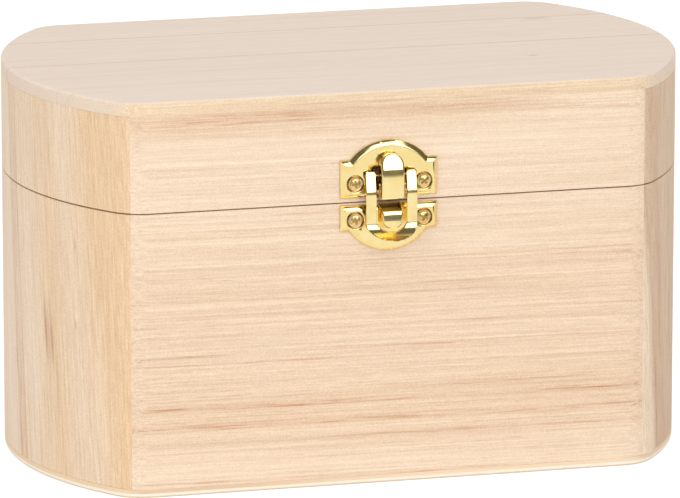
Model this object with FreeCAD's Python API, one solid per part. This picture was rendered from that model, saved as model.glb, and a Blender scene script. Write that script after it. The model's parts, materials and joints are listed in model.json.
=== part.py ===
import FreeCAD, Part
import math
import os

# Wooden box with straight front and back and curved ends, a hinged lid and a toggle latch.
# Millimetres. X runs along the front, Y to the back, Z up. The origin is the middle of the underside.

V = FreeCAD.Vector

# Box
FRONT_LENGTH = 153.5        # straight run of the front and back boards
END_BULGE = 23.25           # how far a curved end stands out past the boards
DEPTH = 118.0               # outside of the front board to outside of the back board
WALL = 7.0
BASE_WALL_HEIGHT = 81.3
LID_WALL_HEIGHT = 28.3
SAW_GAP = 0.4               # cut that parts the lid from the base
BOTTOM_THICKNESS = 2.5
LID_TOP_THICKNESS = 4.0
CORNER_EASE = 12.0          # radius rubbed on the upright outside corners
TOP_EDGE_EASE = 0.8
BOTTOM_EDGE_EASE = 0.8
LAP_LENGTH = 6.0            # lip of a curved end behind a board
LAP_THICKNESS = 3.5
TOP_STRIP_WIDTH = 34.0
TOP_JOINT_OFFSET = -0.5     # middle glue line of the lid's top, from the centre line

# Screws and fits
SCREW_COVER = 1.2           # wood left ahead of a pilot hole
TIP_CLEARANCE = 0.4         # empty end of a pilot hole
SCREW_TIP = 1.6             # length of a screw's point
PILOT_CLEARANCE = 0.05
SLOT_WIDTH = 0.7            # arms of the cross recess
SLOT_DEPTH = 0.6
SLOT_REACH = 0.6            # share of the head's radius that an arm covers
PIN_GRIP = 0.01             # radial gap of a pin where it is held
PIN_PLAY = 0.05             # radial gap of a pin where it turns

# Hinges
HINGE_INSET = 30.75         # end of the back board to the middle of a hinge
HINGE_LENGTH = 24.0
LEAF_HEIGHT = 9.5           # pin axis to the far edge of a leaf
LEAF_THICKNESS = 0.8
KNUCKLE_RADIUS = 1.6
HINGE_PIN_RADIUS = 0.8
BARREL_STANDOFF = 0.35      # barrel to the back of the box
KNUCKLE_END_GAP = 0.2
KNUCKLE_NOTCH_GAP = 0.4
HINGE_SCREW_INSET = 4.5     # end of a leaf to screw
HINGE_SCREW_EDGE = 3.5      # far edge of a leaf to screw
HINGE_SHANK_RADIUS = 0.95

# Latch plates, pressed from sheet
LATCH_OFFSET = -0.8         # middle of the latch from the middle of the front, as fitted by hand
LATCH_WIDTH = 29.0
SHEET = 0.7
PLATE_RISE = 1.6
RIM_EDGE = 0.4              # straight edge below a plate's bevelled rim
LEDGE = 2.8                 # flat step at each end of an arch
LEVER_PLATE_GAP = 1.5       # saw cut to the plate on the lid
LEVER_PLATE_SIDE = 11.1
LEVER_PLATE_ARCH = 5.6
HOOK_PLATE_GAP = 0.65       # saw cut to the plate on the base
HOOK_PLATE_SIDE = 7.7
HOOK_PLATE_ARCH = 6.25
SEAT_RADIUS = 2.6           # dimple that holds a screw head
SEAT_DEPTH = 0.5
SEAT_WALL = 0.35            # pad round a dimple, down to the wood
SEAT_MARGIN = 0.15          # flat between a pad and the bevelled rim
HEAD_CLEARANCE = 0.5        # screw head to the side of its dimple
LATCH_HEAD_RIM = 0.5
LATCH_HEAD_HEIGHT = 1.2
LATCH_SHANK_RADIUS = 1.1

# Lever on the lid's plate
LEVER_WIDTH = 6.8
LEVER_LENGTH = 13.2
LEVER_BEND = 8.8            # lower end to the bend in its front
LEVER_DEPTH = 3.9           # below the bend
LEVER_TIP_DEPTH = 2.2
LEVER_FOOT_INSET = 0.1      # straight edge of the plate to the lever's lower end
LEVER_PLATE_CLEARANCE = 0.5
LEVER_SIDE_CLEARANCE = 0.15
LEVER_PIVOT_RISE = 2.1      # lower end of the lever to its pivot
LEVER_PIVOT_INSET = 1.4     # back of the lever to its pivot
LEVER_PIN_RADIUS = 0.7
EAR_WALL = 0.7              # round the pin
WINDOW_MARGIN = 2.0         # loop's pivot to the upper end of the opening behind the lever

# Loop that hangs on the lever and goes round the hook
LOOP_BAR = 3.15
LOOP_EAR_CLEARANCE = 0.25
LOOP_PIVOT_RISE = 4.6       # lever's pivot to the loop's pivot
LOOP_PIVOT_SETBACK = 0.5    # how far the loop's pivot lies behind the lever's
LOOP_PEG_RADIUS = 0.6
LOOP_TOP = 1.1              # loop's pivot to its upper end
LOOP_KINK_DROP = 5.0        # loop's pivot to the kink in its bars
LOOP_KINK_REACH = 0.95      # how far the bars lean out down to the kink
LOOP_LIP_HEIGHT = 4.1
LOOP_LIP_REACH = 4.95       # how far the lip leans out
LOOP_FOOT = 1.9             # height of the loop below the hook
LOOP_BOW = 4.1              # rise of the arc at the loop's foot
LOOP_HOOK_CLEARANCE = 0.5

# Hook pressed out of the base's plate
HOOK_SIDE_CLEARANCE = 1.0
HOOK_REACH = 1.3            # how far the hook stands out past the loop's bars
HOOK_ROOT_DROP = 0.2        # saw cut to the hook's top, at the plate
HOOK_LENGTH = 7.5
HOOK_SLOPE = 1.9            # fall of the hook's top towards its front
HOOK_NOSE = 0.9             # slanted corner between the hook's top and its front
HOOK_TIP_FLAT = 0.7         # half of the straight part of the hook's lower edge

# Worked out from the sizes above
TOUCHING = 1e-6
HALF_LENGTH = FRONT_LENGTH / 2
HALF_DEPTH = DEPTH / 2
END_RADIUS = (HALF_DEPTH ** 2 + END_BULGE ** 2) / (2 * END_BULGE)
END_CENTRE = HALF_LENGTH + END_BULGE - END_RADIUS
BASE_RIM = BOTTOM_THICKNESS + BASE_WALL_HEIGHT
SAW_CUT = BASE_RIM + SAW_GAP / 2
LID_RIM = BASE_RIM + SAW_GAP
LID_TOP_UNDERSIDE = LID_RIM + LID_WALL_HEIGHT
LID_TOP = LID_TOP_UNDERSIDE + LID_TOP_THICKNESS
PILOT_DEPTH = WALL - SCREW_COVER
SCREW_GRIP = PILOT_DEPTH - TIP_CLEARANCE

HINGE_X = HALF_LENGTH - HINGE_INSET
HINGE_AXIS_Y = HALF_DEPTH + BARREL_STANDOFF + KNUCKLE_RADIUS
HINGE_SCREW_X = HINGE_LENGTH / 2 - HINGE_SCREW_INSET
HINGE_SCREW_RISE = LEAF_HEIGHT - HINGE_SCREW_EDGE
HINGE_HEAD_RADIUS = HINGE_SHANK_RADIUS + LEAF_THICKNESS

# On the latch, a rise counts up from the saw cut and a standoff out from the front of the box
PLATE_BEVEL = PLATE_RISE - RIM_EDGE
INNER_BEVEL = PLATE_BEVEL - SHEET * (2 - math.sqrt(2))
SEAT_STANDOFF = PLATE_RISE - SEAT_DEPTH
PAD_RADIUS = SEAT_RADIUS + SEAT_WALL
LATCH_HEAD_RADIUS = SEAT_RADIUS - HEAD_CLEARANCE
LATCH_SCREW_INSET = PLATE_BEVEL + SEAT_MARGIN + PAD_RADIUS
LATCH_SCREW_X = LATCH_WIDTH / 2 - LATCH_SCREW_INSET
LEVER_SCREW_RISE = LEVER_PLATE_GAP + LATCH_SCREW_INSET
HOOK_SCREW_RISE = -HOOK_PLATE_GAP - LATCH_SCREW_INSET

LEVER_BACK = PLATE_RISE + LEVER_PLATE_CLEARANCE
LEVER_FRONT = LEVER_BACK + LEVER_DEPTH
LEVER_TIP_FRONT = LEVER_BACK + LEVER_TIP_DEPTH
LEVER_FOOT = LEVER_PLATE_GAP + LEVER_FOOT_INSET
LEVER_BEND_RISE = LEVER_FOOT + LEVER_BEND
LEVER_TOP = LEVER_FOOT + LEVER_LENGTH
LEVER_PIVOT = (LEVER_BACK + LEVER_PIVOT_INSET, LEVER_FOOT + LEVER_PIVOT_RISE)
EAR_INSIDE = LEVER_WIDTH / 2 + LEVER_SIDE_CLEARANCE
EAR_OUTSIDE = EAR_INSIDE + SHEET
EAR_RADIUS = LEVER_PIN_RADIUS + PIN_GRIP + EAR_WALL

LOOP_PIVOT = (LEVER_PIVOT[0] - LOOP_PIVOT_SETBACK, LEVER_PIVOT[1] + LOOP_PIVOT_RISE)
LOOP_INSIDE = EAR_OUTSIDE + LOOP_EAR_CLEARANCE
LOOP_OUTSIDE = LOOP_INSIDE + LOOP_BAR
LOOP_FRONT = LOOP_PIVOT[0] + SHEET / 2 + LOOP_KINK_REACH
HOOK_FRONT = LOOP_FRONT + HOOK_REACH
HOOK_TIP_DROP = HOOK_ROOT_DROP + HOOK_LENGTH
LOOP_INNER_FOOT = -HOOK_TIP_DROP - LOOP_HOOK_CLEARANCE
LOOP_OUTER_FOOT = LOOP_INNER_FOOT - LOOP_FOOT


def outline_face(start, *steps):
    """Flat face inside a closed outline. A step is a point to run straight to, or an arc's (middle, end)."""
    edges = []
    here = start
    for step in steps:
        if isinstance(step, tuple):
            middle, end = step
            edges.append(Part.Arc(here, middle, end).toShape())
        else:
            end = step
            edges.append(Part.LineSegment(here, end).toShape())
        here = end
    if here.distanceToPoint(start) > TOUCHING:
        edges.append(Part.LineSegment(here, start).toShape())
    return Part.Face(Part.Wire(edges))


def joined(first, *others):
    """Shapes fused into one solid, without the lines between faces that run on."""
    return first.multiFuse(others).removeSplitter()


def box_between(low, high):
    return Part.makeBox(high.x - low.x, high.y - low.y, high.z - low.z, low)


def rod_along_x(radius, x_from, x_to, y, z):
    return Part.makeCylinder(radius, x_to - x_from, V(x_from, y, z), V(1, 0, 0))


# Wooden pieces

def plan_face(inset, level):
    """Outline of the box seen from above, moved inwards: two straight sides and two round ends."""
    side = HALF_DEPTH - inset
    radius = END_RADIUS - inset
    corner = END_CENTRE + math.sqrt(radius ** 2 - side ** 2)
    tip = END_CENTRE + radius
    return outline_face(
        V(-corner, -side, level),
        V(corner, -side, level),
        (V(tip, 0, level), V(corner, side, level)),
        V(-corner, side, level),
        (V(-tip, 0, level), V(-corner, -side, level)),
    )


def eased_slab(level, height):
    """Solid of the whole outline with its four upright corners rubbed round."""
    blank = plan_face(0, level).extrude(V(0, 0, height))
    uprights = [edge for edge in blank.Edges
                if abs(edge.Vertexes[0].Z - edge.Vertexes[-1].Z) > height / 2]
    return blank.makeFillet(CORNER_EASE, uprights)


def eased_rim(slab, level, radius):
    """Slab with the edge all round its face at the given level rubbed round."""
    rim = [edge for edge in slab.Edges
           if all(abs(corner.Z - level) < TOUCHING for corner in edge.Vertexes)]
    return slab.makeFillet(radius, rim)


def board_blank(side, level, height):
    """Straight board, side -1 for the front or 1 for the back, with the inside of its ends cut back."""
    outer = side * HALF_DEPTH
    lap = side * (HALF_DEPTH - WALL + LAP_THICKNESS)
    inner = side * (HALF_DEPTH - WALL)
    short = HALF_LENGTH - LAP_LENGTH
    return outline_face(
        V(-HALF_LENGTH, outer, level),
        V(HALF_LENGTH, outer, level),
        V(HALF_LENGTH, lap, level),
        V(short, lap, level),
        V(short, inner, level),
        V(-short, inner, level),
        V(-short, lap, level),
        V(-HALF_LENGTH, lap, level),
    ).extrude(V(0, 0, height))


def wall_pieces(level, height):
    """The four pieces of one ring of wall: front board, back board, left end and right end."""
    ring = eased_slab(level, height).cut(plan_face(WALL, level).extrude(V(0, 0, height)))
    blanks = [board_blank(side, level, height) for side in (-1, 1)]
    front, back = [ring.common(blank).Solids[0] for blank in blanks]
    left, right = sorted(ring.cut(blanks).Solids, key=lambda end: end.CenterOfMass.x)
    return front, back, left, right


def bottom_panel():
    return eased_rim(eased_slab(0, BOTTOM_THICKNESS), 0, BOTTOM_EDGE_EASE)


def lid_top_strips():
    """Lid panel of four strips glued edge to edge, front to back."""
    panel = eased_rim(eased_slab(LID_TOP_UNDERSIDE, LID_TOP_THICKNESS), LID_TOP, TOP_EDGE_EASE)
    joints = [TOP_JOINT_OFFSET + step * TOP_STRIP_WIDTH for step in (-1, 0, 1)]
    lines = [-HALF_DEPTH, *joints, HALF_DEPTH]
    reach = HALF_LENGTH + END_BULGE
    return [panel.common(box_between(V(-reach, near, LID_TOP_UNDERSIDE), V(reach, far, LID_TOP)))
            for near, far in zip(lines, lines[1:])]


# Screws, drawn with their seat at the origin and their head up

def cross_recess(top, radius):
    """Two crossed slots in a screw head whose top is at the given height."""
    arm = radius * SLOT_REACH
    slot = box_between(V(-arm, -SLOT_WIDTH / 2, top - SLOT_DEPTH), V(arm, SLOT_WIDTH / 2, top))
    across = slot.copy()
    across.rotate(V(0, 0, 0), V(0, 0, 1), 90)
    return slot.fuse(across)


def shank(radius, length):
    """Body of a screw down to its point."""
    tip = Part.makeCone(0, radius, SCREW_TIP, V(0, 0, -length))
    return Part.makeCylinder(radius, length - SCREW_TIP, V(0, 0, SCREW_TIP - length)).fuse(tip)


def driven(screw, seat, outward):
    """Screw moved to its seat, with its head facing outward."""
    screw.Placement = FreeCAD.Placement(seat, FreeCAD.Rotation(V(0, 0, 1), outward))
    return screw


def pan_head_screw(seat):
    """Screw with a low domed head on a straight rim, for a latch plate."""
    dome = LATCH_HEAD_HEIGHT - LATCH_HEAD_RIM
    dome_radius = (LATCH_HEAD_RADIUS ** 2 + dome ** 2) / (2 * dome)
    ball = Part.makeSphere(dome_radius, V(0, 0, LATCH_HEAD_HEIGHT - dome_radius))
    head = Part.makeCylinder(LATCH_HEAD_RADIUS, LATCH_HEAD_HEIGHT).common(ball)
    screw = joined(head, shank(LATCH_SHANK_RADIUS, SEAT_STANDOFF + SCREW_GRIP))
    return driven(screw.cut(cross_recess(LATCH_HEAD_HEIGHT, LATCH_HEAD_RADIUS)), seat, V(0, -1, 0))


def countersunk_screw(seat):
    """Screw with a flat head as deep as a hinge leaf, whose shank starts at the wood."""
    head = Part.makeCone(HINGE_SHANK_RADIUS, HINGE_HEAD_RADIUS, LEAF_THICKNESS)
    screw = joined(head, shank(HINGE_SHANK_RADIUS, SCREW_GRIP))
    return driven(screw.cut(cross_recess(LEAF_THICKNESS, HINGE_HEAD_RADIUS)), seat, V(0, 1, 0))


def drilled(board, places, inward, shank_radius):
    """Board with a pilot hole at each place."""
    return board.cut([Part.makeCylinder(shank_radius + PILOT_CLEARANCE, PILOT_DEPTH, place, inward)
                      for place in places])


# Hinges on the back of the box

def hinge_screw_places(side):
    """Where the screws of both hinges enter the wood; side is -1 for the base or 1 for the lid."""
    rise = SAW_CUT + side * HINGE_SCREW_RISE
    return [V(hinge * HINGE_X + end * HINGE_SCREW_X, HALF_DEPTH, rise)
            for hinge in (-1, 1) for end in (-1, 1)]


def hinge_leaf(middle, side):
    """Leaf at the given middle. The base leaf (-1) has two outer knuckles, the lid leaf (1) the inner one."""
    end = HINGE_LENGTH / 2
    sixth = HINGE_LENGTH / 6
    gap = KNUCKLE_END_GAP / 2
    spans = {-1: [(-end, -sixth - gap), (sixth + gap, end)],
             1: [(gap - sixth, sixth - gap)]}

    def strip(start, stop, height):
        low, high = sorted((SAW_CUT, SAW_CUT + side * height))
        return box_between(V(middle + start, HALF_DEPTH, low),
                           V(middle + stop, HALF_DEPTH + LEAF_THICKNESS, high))

    notches = [strip(start - KNUCKLE_END_GAP, stop + KNUCKLE_END_GAP, KNUCKLE_RADIUS + KNUCKLE_NOTCH_GAP)
               for start, stop in spans[-side]]
    knuckles = [rod_along_x(KNUCKLE_RADIUS, middle + start, middle + stop, HINGE_AXIS_Y, SAW_CUT)
                for start, stop in spans[side]]
    bore = HINGE_PIN_RADIUS + (PIN_GRIP if side < 0 else PIN_PLAY)
    holes = [Part.makeCone(HINGE_SHANK_RADIUS, HINGE_HEAD_RADIUS, LEAF_THICKNESS, place, V(0, 1, 0))
             for place in hinge_screw_places(side) if abs(place.x - middle) < end]
    holes.append(rod_along_x(bore, middle - end, middle + end, HINGE_AXIS_Y, SAW_CUT))
    return joined(strip(-end, end, LEAF_HEIGHT).cut(notches), *knuckles).cut(holes)


def hinge_pin(middle):
    end = HINGE_LENGTH / 2
    return rod_along_x(HINGE_PIN_RADIUS, middle - end, middle + end, HINGE_AXIS_Y, SAW_CUT)


# Latch on the front of the box

def latch_point(x, standoff, rise):
    return V(LATCH_OFFSET + x, -HALF_DEPTH - standoff, SAW_CUT + rise)


def latch_peg(x, rise, radius, start, stop):
    """Round bar that stands out of the front of the box from one standoff to another."""
    return Part.makeCylinder(radius, stop - start, latch_point(x, start, rise), V(0, -1, 0))


def pivot_rod(pivot, radius, x_from, x_to):
    """Round bar across the latch on a pivot given as (standoff, rise)."""
    return Part.makeCylinder(radius, x_to - x_from, latch_point(x_from, *pivot), V(1, 0, 0))


def front_prism(depth, start, *steps):
    """Solid as deep as the given standoff, from a front view given as (x, rise) corners and arcs."""
    def placed(step):
        if isinstance(step[0], tuple):
            return tuple(latch_point(x, 0, rise) for x, rise in step)
        return latch_point(step[0], 0, step[1])
    return outline_face(placed(start), *[placed(step) for step in steps]).extrude(V(0, -depth, 0))


def side_prism(half_width, *profile):
    """Solid across the latch, from a side view given as (standoff, rise) corners."""
    corners = [latch_point(-half_width, standoff, rise) for standoff, rise in profile]
    return outline_face(*corners).extrude(V(2 * half_width, 0, 0))


def dish(edge, ledge, crown, inset, rise, bevel):
    """Block of a plate's outline with a bevelled rim: straight edge, a ledge at each side, then an arch."""
    up = math.copysign(inset, crown - edge)
    half = LATCH_WIDTH / 2 - inset
    arch = LATCH_WIDTH / 2 - LEDGE - inset
    block = front_prism(
        rise,
        (-half, edge + up),
        (half, edge + up),
        (half, ledge - up),
        (arch, ledge - up),
        ((0, crown - up), (-arch, ledge - up)),
        (-half, ledge - up),
    )
    rim = [side for side in block.Edges
           if all(abs(corner.Y + HALF_DEPTH + rise) < TOUCHING for corner in side.Vertexes)]
    return block.makeChamfer(bevel, rim)


def pressed_plate(edge, ledge, crown, screw_rise):
    """Sheet pressed to a shallow dish, hollow behind, with a dimple and a screw hole at each side."""
    outside = dish(edge, ledge, crown, 0, PLATE_RISE, PLATE_BEVEL)
    plate = outside.cut(dish(edge, ledge, crown, SHEET, PLATE_RISE - SHEET, INNER_BEVEL))
    sides = (-LATCH_SCREW_X, LATCH_SCREW_X)
    pads = [latch_peg(x, screw_rise, PAD_RADIUS, 0, PLATE_RISE) for x in sides]
    dimples = [latch_peg(x, screw_rise, SEAT_RADIUS, SEAT_STANDOFF, PLATE_RISE) for x in sides]
    holes = [latch_peg(x, screw_rise, LATCH_SHANK_RADIUS + PILOT_CLEARANCE, 0, PLATE_RISE) for x in sides]
    return joined(plate, *pads).cut(dimples + holes)


def latch_screw_places(rise, standoff):
    return [latch_point(x, standoff, rise) for x in (-LATCH_SCREW_X, LATCH_SCREW_X)]


def latch_screws(rise):
    return Part.makeCompound([pan_head_screw(seat) for seat in latch_screw_places(rise, SEAT_STANDOFF)])


def lever_plate():
    """Plate on the lid, with an opening behind the lever and two ears that hold the lever's pin."""
    ledge = LEVER_PLATE_GAP + LEVER_PLATE_SIDE
    plate = pressed_plate(LEVER_PLATE_GAP, ledge, ledge + LEVER_PLATE_ARCH, LEVER_SCREW_RISE)
    window = box_between(latch_point(-EAR_INSIDE, PLATE_RISE, LEVER_PLATE_GAP),
                         latch_point(EAR_INSIDE, 0, LOOP_PIVOT[1] + WINDOW_MARGIN))
    standoff, rise = LEVER_PIVOT
    low, high = rise - EAR_RADIUS, rise + EAR_RADIUS
    stem = side_prism(EAR_OUTSIDE, (0, low), (standoff, low), (standoff, high), (0, high))
    ears = joined(stem, pivot_rod(LEVER_PIVOT, EAR_RADIUS, -EAR_OUTSIDE, EAR_OUTSIDE))
    between = side_prism(EAR_INSIDE, (0, low), (standoff + EAR_RADIUS, low),
                         (standoff + EAR_RADIUS, high), (0, high))
    plate = joined(plate.cut(window), *ears.cut(between).Solids)
    return plate.cut(pivot_rod(LEVER_PIVOT, LEVER_PIN_RADIUS + PIN_GRIP, -EAR_OUTSIDE, EAR_OUTSIDE))


def lever_pin():
    return pivot_rod(LEVER_PIVOT, LEVER_PIN_RADIUS, -EAR_OUTSIDE, EAR_OUTSIDE)


def lever_block(inset, back, foot):
    """Outside of the lever moved inwards by the inset; back is a standoff and foot a rise."""
    half = LEVER_WIDTH / 2 - inset
    top = LEVER_TOP - inset
    front = front_prism(
        LEVER_FRONT,
        (-half, foot),
        (half, foot),
        (half, top - half),
        ((0, top), (-half, top - half)),
    )
    face = LEVER_FRONT - inset
    side = side_prism(half, (back, foot), (face, foot), (face, LEVER_BEND_RISE),
                      (LEVER_TIP_FRONT - inset, LEVER_TOP), (back, LEVER_TOP))
    return front.common(side)


def lever():
    """Tongue drawn to a channel, open behind and below, that turns on the pin in the plate's ears."""
    half = LEVER_WIDTH / 2
    shell = lever_block(0, LEVER_BACK, LEVER_FOOT).cut(lever_block(SHEET, 0, 0))
    return shell.cut([pivot_rod(LEVER_PIVOT, LEVER_PIN_RADIUS + PIN_PLAY, -half, half),
                      pivot_rod(LOOP_PIVOT, LOOP_PEG_RADIUS + PIN_PLAY, -half, half)])


def loop():
    """Strip bent to a long U, hung on the lever by two inward pegs, with a lip turned out at its foot."""
    standoff, rise = LOOP_PIVOT
    top = rise + LOOP_TOP
    outer_side = LOOP_OUTER_FOOT + LOOP_BOW
    inner_side = LOOP_INNER_FOOT + LOOP_BOW * LOOP_INSIDE / LOOP_OUTSIDE
    lip_front = LOOP_FRONT + LOOP_LIP_REACH
    front = front_prism(
        lip_front,
        (-LOOP_OUTSIDE, top),
        (-LOOP_OUTSIDE, outer_side),
        ((0, LOOP_OUTER_FOOT), (LOOP_OUTSIDE, outer_side)),
        (LOOP_OUTSIDE, top),
        (LOOP_INSIDE, top),
        (LOOP_INSIDE, inner_side),
        ((0, LOOP_INNER_FOOT), (-LOOP_INSIDE, inner_side)),
        (-LOOP_INSIDE, top),
    )
    lean = LOOP_KINK_REACH / LOOP_KINK_DROP
    bends = [(standoff + SHEET / 2 - lean * LOOP_TOP, top),
             (LOOP_FRONT, rise - LOOP_KINK_DROP),
             (LOOP_FRONT, LOOP_OUTER_FOOT + LOOP_LIP_HEIGHT),
             (lip_front, LOOP_OUTER_FOOT)]
    behind = [(front_standoff - SHEET, bend) for front_standoff, bend in reversed(bends)]
    strip = front.common(side_prism(LOOP_OUTSIDE, *bends, *behind))
    peg_end = LEVER_WIDTH / 2 - SHEET - LEVER_SIDE_CLEARANCE
    peg_root = LOOP_INSIDE + LOOP_BAR / 2
    pegs = [pivot_rod(LOOP_PIVOT, LOOP_PEG_RADIUS, *span)
            for span in ((-peg_root, -peg_end), (peg_end, peg_root))]
    return joined(strip, *pegs)


def hook_block(inset, back, foot):
    """Outside of the hook moved inwards by the inset; back is a standoff and foot a rise."""
    half = LOOP_INSIDE - HOOK_SIDE_CLEARANCE - inset
    round_corner = half - HOOK_TIP_FLAT
    bend = round_corner * (1 - math.sqrt(0.5))
    front = front_prism(
        HOOK_FRONT,
        (-half, 0),
        (-half, foot + round_corner),
        ((bend - half, foot + bend), (-HOOK_TIP_FLAT, foot)),
        (HOOK_TIP_FLAT, foot),
        ((half - bend, foot + bend), (half, foot + round_corner)),
        (half, 0),
    )
    nose = HOOK_FRONT - inset
    root = -HOOK_ROOT_DROP - inset
    brow = root - HOOK_SLOPE
    side = side_prism(half, (back, root), (nose - HOOK_NOSE, brow), (nose, brow - HOOK_NOSE),
                      (nose, foot), (back, foot))
    return front.common(side)


def hook_plate():
    """Plate on the base, with the hook pressed out of it; the hook is open below."""
    ledge = -HOOK_PLATE_GAP - HOOK_PLATE_SIDE
    plate = pressed_plate(-HOOK_PLATE_GAP, ledge, ledge - HOOK_PLATE_ARCH, HOOK_SCREW_RISE)
    plate = joined(plate, hook_block(0, PLATE_RISE - SHEET, -HOOK_TIP_DROP))
    return plate.cut(hook_block(SHEET, PLATE_RISE, LOOP_INNER_FOOT))


# The finished pieces

def main():
    base_front, base_back, base_left, base_right = wall_pieces(BOTTOM_THICKNESS, BASE_WALL_HEIGHT)
    lid_front, lid_back, lid_left, lid_right = wall_pieces(LID_RIM, LID_WALL_HEIGHT)
    into_front, into_back = V(0, 1, 0), V(0, -1, 0)
    hook_places = latch_screw_places(HOOK_SCREW_RISE, 0)
    lever_places = latch_screw_places(LEVER_SCREW_RISE, 0)

    pieces = {
        "base_bottom_panel": bottom_panel(),
        "base_front_board": drilled(base_front, hook_places, into_front, LATCH_SHANK_RADIUS),
        "base_back_board": drilled(base_back, hinge_screw_places(-1), into_back, HINGE_SHANK_RADIUS),
        "base_left_end": base_left,
        "base_right_end": base_right,
        "lid_front_board": drilled(lid_front, lever_places, into_front, LATCH_SHANK_RADIUS),
        "lid_back_board": drilled(lid_back, hinge_screw_places(1), into_back, HINGE_SHANK_RADIUS),
        "lid_left_end": lid_left,
        "lid_right_end": lid_right,
        "latch_lever_plate": lever_plate(),
        "latch_lever_plate_screws": latch_screws(LEVER_SCREW_RISE),
        "latch_lever_pin": lever_pin(),
        "latch_lever": lever(),
        "latch_loop": loop(),
        "latch_hook_plate": hook_plate(),
        "latch_hook_plate_screws": latch_screws(HOOK_SCREW_RISE),
    }
    strip_names = ("front", "front_middle", "back_middle", "back")
    for name, strip in zip(strip_names, lid_top_strips()):
        pieces[f"lid_top_{name}_strip"] = strip
    for name, side in (("base", -1), ("lid", 1)):
        screws = [countersunk_screw(seat) for seat in hinge_screw_places(side)]
        pieces[f"hinge_{name}_screws"] = Part.makeCompound(screws)
    for name, side in (("left", -1), ("right", 1)):
        middle = side * HINGE_X
        pieces[f"hinge_{name}_base_leaf"] = hinge_leaf(middle, -1)
        pieces[f"hinge_{name}_lid_leaf"] = hinge_leaf(middle, 1)
        pieces[f"hinge_{name}_pin"] = hinge_pin(middle)

    os.makedirs("parts", exist_ok=True)
    for name, shape in pieces.items():
        shape.exportStep(f"parts/{name}.step")


main()
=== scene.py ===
import json
import math

import bmesh
import bpy
from mathutils import Matrix, Vector

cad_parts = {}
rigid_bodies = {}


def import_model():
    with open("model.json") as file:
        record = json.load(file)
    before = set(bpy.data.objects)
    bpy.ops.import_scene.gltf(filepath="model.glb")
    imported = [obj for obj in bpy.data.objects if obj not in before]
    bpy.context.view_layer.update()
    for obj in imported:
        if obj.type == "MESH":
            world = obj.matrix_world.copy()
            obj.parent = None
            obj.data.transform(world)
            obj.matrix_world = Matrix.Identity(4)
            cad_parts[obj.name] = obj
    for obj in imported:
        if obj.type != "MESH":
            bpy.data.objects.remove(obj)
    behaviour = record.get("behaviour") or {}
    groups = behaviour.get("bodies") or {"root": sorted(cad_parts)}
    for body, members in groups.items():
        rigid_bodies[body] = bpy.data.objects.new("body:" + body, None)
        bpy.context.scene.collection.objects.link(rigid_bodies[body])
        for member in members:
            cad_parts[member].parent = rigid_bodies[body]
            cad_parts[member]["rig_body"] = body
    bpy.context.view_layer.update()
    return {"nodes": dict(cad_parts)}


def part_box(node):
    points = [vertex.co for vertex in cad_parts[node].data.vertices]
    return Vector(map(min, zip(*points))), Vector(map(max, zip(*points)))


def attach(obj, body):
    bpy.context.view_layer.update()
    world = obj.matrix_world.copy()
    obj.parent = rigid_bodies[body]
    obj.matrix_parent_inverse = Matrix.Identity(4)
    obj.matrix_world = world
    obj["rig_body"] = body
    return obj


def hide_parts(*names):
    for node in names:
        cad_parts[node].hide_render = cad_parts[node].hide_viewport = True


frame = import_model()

# A pale wooden box with straight front and back, curved ends, a hinged lid and a brass toggle latch.
# Sizes are millimetres and are turned into metres by MM.
MM = 0.001

# Camera, fitted to the corners of the box in the photograph
PHOTO_WIDTH, PHOTO_HEIGHT = 680, 498
FOCAL_PIXELS = 6996
AIM_PIXEL = (338.7, 238.4)
AIM_HEIGHT = 59.5
CAMERA_AZIMUTH = -14.77
CAMERA_ELEVATION = 13.08
CAMERA_DISTANCE = 2078
SENSOR_WIDTH = 36

# Places taken from the frame
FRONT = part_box("base_front_board")[0].y / MM
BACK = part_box("base_back_board")[1].y / MM
HALF_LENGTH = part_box("base_front_board")[1].x / MM
BASE_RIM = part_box("base_front_board")[1].z / MM
LID_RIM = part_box("lid_front_board")[0].z / MM
LID_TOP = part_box("lid_top_front_strip")[1].z / MM
SAW_CUT = (BASE_RIM + LID_RIM) / 2
LATCH_X = (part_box("latch_lever")[0].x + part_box("latch_lever")[1].x) / 2 / MM
HINGE_X = (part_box("hinge_right_pin")[0].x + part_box("hinge_right_pin")[1].x) / 2 / MM

# Wood
TOP_STRIPS = ("lid_top_front_strip", "lid_top_front_middle_strip", "lid_top_back_middle_strip",
              "lid_top_back_strip")
BOARD_EASE, STRIP_EASE = 0.25, 0.12    # edges rubbed with sandpaper
EASED_ANGLE = math.radians(35)         # edges at least as sharp as this are rubbed
FLAT_FACE = 0.99999                    # part of a normal along an axis that makes a face a flat one
PLY_SHADE_TOP, PLY_HIGH = 0.55, 1.35     # top of the painted shade along the plywood's bottom edge, and where its upper layers meet

# Hinges
HINGE_LEAF, KNUCKLE_RADIUS = 0.8, 1.6
HINGE_SCREW_X, HINGE_SCREW_RISE, HINGE_HEAD_RADIUS = 7.5, 6.0, 1.75

# Latch: a rise counts up from the saw cut, a standoff counts out from the front of the box
SHEET = 0.7
PLATE_RISE = 1.6
RIM_EDGE = 0.4
LEDGE = 2.8
LATCH_HALF = 14.5
LEVER_PLATE_EDGE, LEVER_PLATE_LEDGE, LEVER_PLATE_CROWN = 1.5, 12.6, 18.2
HOOK_PLATE_EDGE, HOOK_PLATE_LEDGE, HOOK_PLATE_CROWN = -0.65, -8.35, -14.6
SCREW_X = 10.2
LEVER_SCREW_RISE, HOOK_SCREW_RISE = 5.8, -4.95
LEVER_SCREW_TURNS, HOOK_SCREW_TURNS = (8, 40), (15, 65)     # degrees that the crosses are turned
SEAT_RADIUS, SEAT_DEPTH, SEAT_HOLE = 2.6, 0.5, 1.15
LEVER_HALF, LEVER_FOOT, LEVER_BEND, LEVER_TOP = 3.4, 1.6, 10.4, 14.8
LEVER_BACK, LEVER_FRONT, LEVER_TIP_FRONT = 2.1, 6.0, 4.3
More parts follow.
